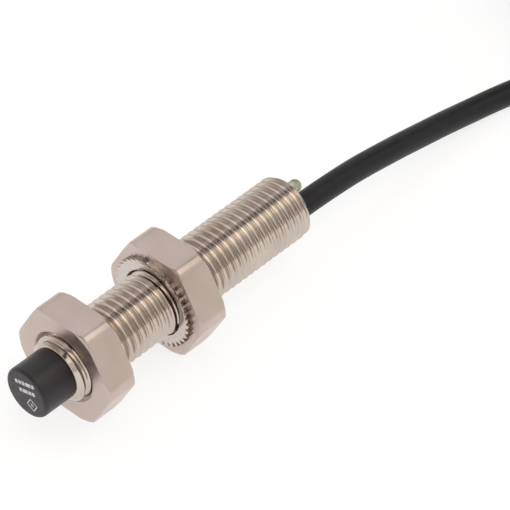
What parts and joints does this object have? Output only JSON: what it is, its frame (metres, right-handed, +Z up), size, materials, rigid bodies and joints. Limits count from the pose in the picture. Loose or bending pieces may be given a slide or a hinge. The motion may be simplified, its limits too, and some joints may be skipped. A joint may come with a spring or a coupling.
{
  "type": "inductive proximity sensor",
  "caption": "Threaded cylindrical inductive proximity sensor with a plastic sensing cap, hexagon mounting nuts, a toothed lock washer, a rear status light and a moulded cable.",
  "frame": {"origin": "centre of the flat sensing face, on the sensor's axis", "axes": "+X along the sensor's axis from the sensing face to the cable, +Z up from the nut flats that the sensor lies on"},
  "size_m": [0.1675, 0.028, 0.019],
  "materials": {
    "nickel_plate": "bright nickel plate over turned brass, warm grey",
    "cap_plastic": "fine matt moulded black",
    "ferrite": "ground sintered dark grey",
    "bobbin_plastic": "natural moulded",
    "copper": "enamelled copper wire",
    "board_laminate": "green solder mask",
    "chip_plastic": "black epoxy",
    "resistor_ceramic": "glazed black with tinned ends",
    "capacitor_ceramic": "tan ceramic with tinned ends",
    "tin": "bright solder",
    "led_resin": "clear yellow resin",
    "clear_plastic": "clear moulded, polished dome",
    "plug_plastic": "matt moulded black",
    "sleeve_brass": "plain crimped brass",
    "cable_jacket": "satin extruded black jacket",
    "insulation_brown": "satin insulation",
    "insulation_blue": "satin insulation",
    "insulation_black": "satin insulation",
    "resin": "cured casting resin",
    "washer_steel": "zinc-nickel plated spring steel",
    "tie_plastic": "ribbed plastic strip"
  },
  "bodies": {
    "sensor": {"barrel": "nickel_plate", "sensing_cap": "cap_plastic", "ferrite_core": "ferrite", "coil_bobbin": "bobbin_plastic", "sensing_coil": "copper", "coil_leads": "copper", "circuit_board": "board_laminate", "oscillator_chip": "chip_plastic", "output_transistor": "chip_plastic", "resistors": "resistor_ceramic", "capacitors": "capacitor_ceramic", "protection_diode": "chip_plastic", "solder_joints": "tin", "status_led": "led_resin", "light_pipe": "clear_plastic", "rear_plug": "plug_plastic", "strain_relief_sleeve": "sleeve_brass", "jacket_end": "cable_jacket", "wire_brown": "insulation_brown", "wire_blue": "insulation_blue", "wire_black": "insulation_black", "potting_resin": "resin", "cable_run": "cable_jacket", "cable_hank": "cable_jacket", "hank_tie": "tie_plastic", "lead_brown": "insulation_brown", "lead_blue": "insulation_blue", "lead_black": "insulation_black", "lead_tips": "tin"},
    "front_nut": {"front_nut": "nickel_plate"},
    "lock_washer": {"lock_washer": "washer_steel"},
    "rear_nut": {"rear_nut": "nickel_plate"}
  },
  "joints": [
    {"name": "front_nut_travel", "type": "slide", "parent": "sensor", "child": "front_nut", "axis": [1, 0, 0], "range_m": [-0.005, 0.004]},
    {"name": "washer_travel", "type": "slide", "parent": "sensor", "child": "lock_washer", "axis": [1, 0, 0], "range_m": [-0.005, 0.016]},
    {"name": "rear_nut_turn", "type": "hinge", "parent": "lock_washer", "child": "rear_nut", "pos_m": [0.0218, 0, 0], "axis": [1, 0, 0], "range_deg": [-1800, 5760]}
  ],
  "couplings": [
    {"joint": "washer_travel", "follows": "rear_nut_turn", "m_per_rad": 0.00015915}
  ]
}
